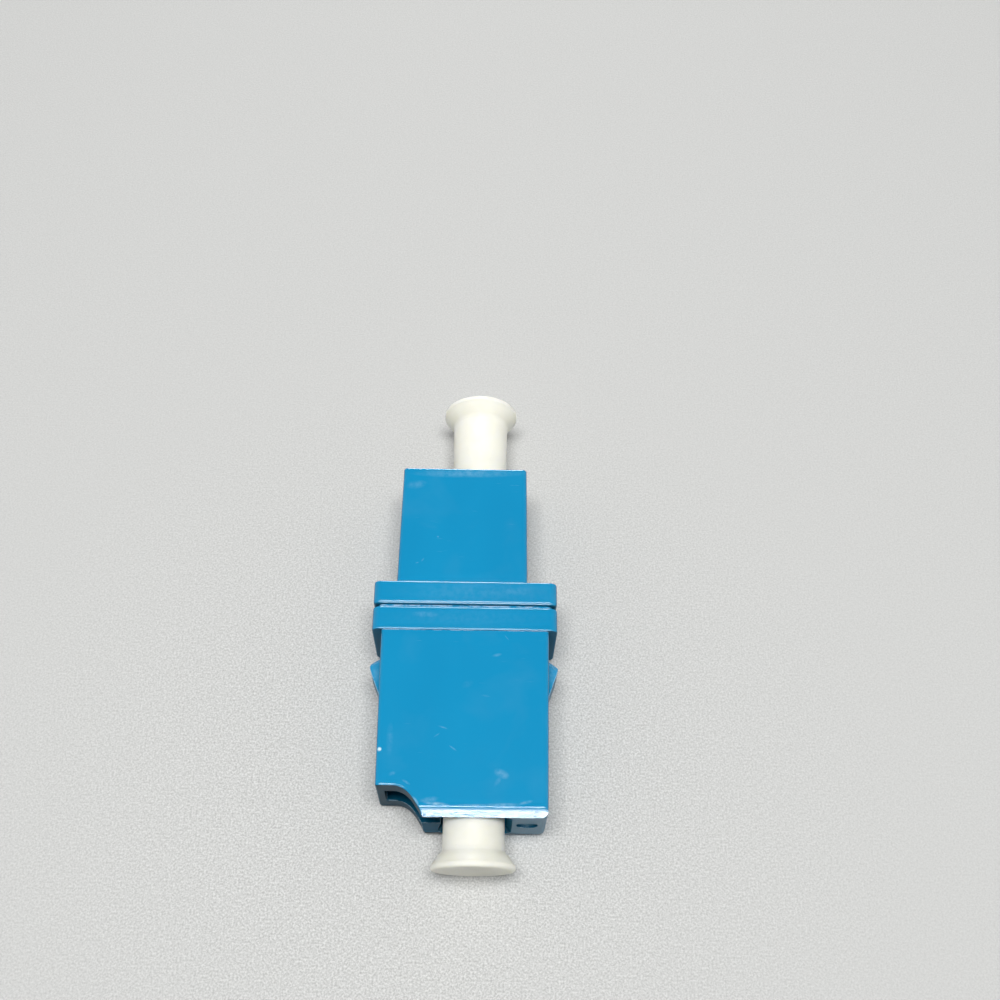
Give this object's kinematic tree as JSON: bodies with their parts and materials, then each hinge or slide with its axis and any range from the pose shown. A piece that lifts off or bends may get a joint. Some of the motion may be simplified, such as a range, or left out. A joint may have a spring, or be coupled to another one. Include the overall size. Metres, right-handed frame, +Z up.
{
  "type": "lc fibre adapter",
  "caption": "Simplex LC fibre adapter: two welded half-housings with a middle flange, slit alignment sleeve, latch-side cut-out, panel barbs and push-in dust caps at both ends.",
  "frame": {"origin": "on the surface the adapter lies on, under the centre of the flange, in the plane where the two half-housings are welded and the two ferrules meet", "axes": "+Z up through the two broad sides; +Y along the common axis of both sockets, towards the narrower rear socket; the latch side faces -X"},
  "size_m": [0.0136, 0.0364, 0.0062],
  "materials": {
    "housing_blue": "moulded PBT, satin to semi-gloss, bright at the edges",
    "cap_white": "natural polyethylene, slightly translucent, smooth",
    "sleeve_ceramic": "polished white zirconia"
  },
  "bodies": {
    "housing": {"front_housing": "housing_blue", "rear_housing": "housing_blue", "alignment_sleeve": "sleeve_ceramic"},
    "front_cap": {"front_dust_cap": "cap_white"},
    "rear_cap": {"rear_dust_cap": "cap_white"}
  },
  "joints": [
    {"name": "front_cap_pull", "type": "slide", "parent": "housing", "child": "front_cap", "axis": [0, -1, 0], "range_m": [0, 0.016]},
    {"name": "rear_cap_pull", "type": "slide", "parent": "housing", "child": "rear_cap", "axis": [0, 1, 0], "range_m": [0, 0.016]}
  ]
}
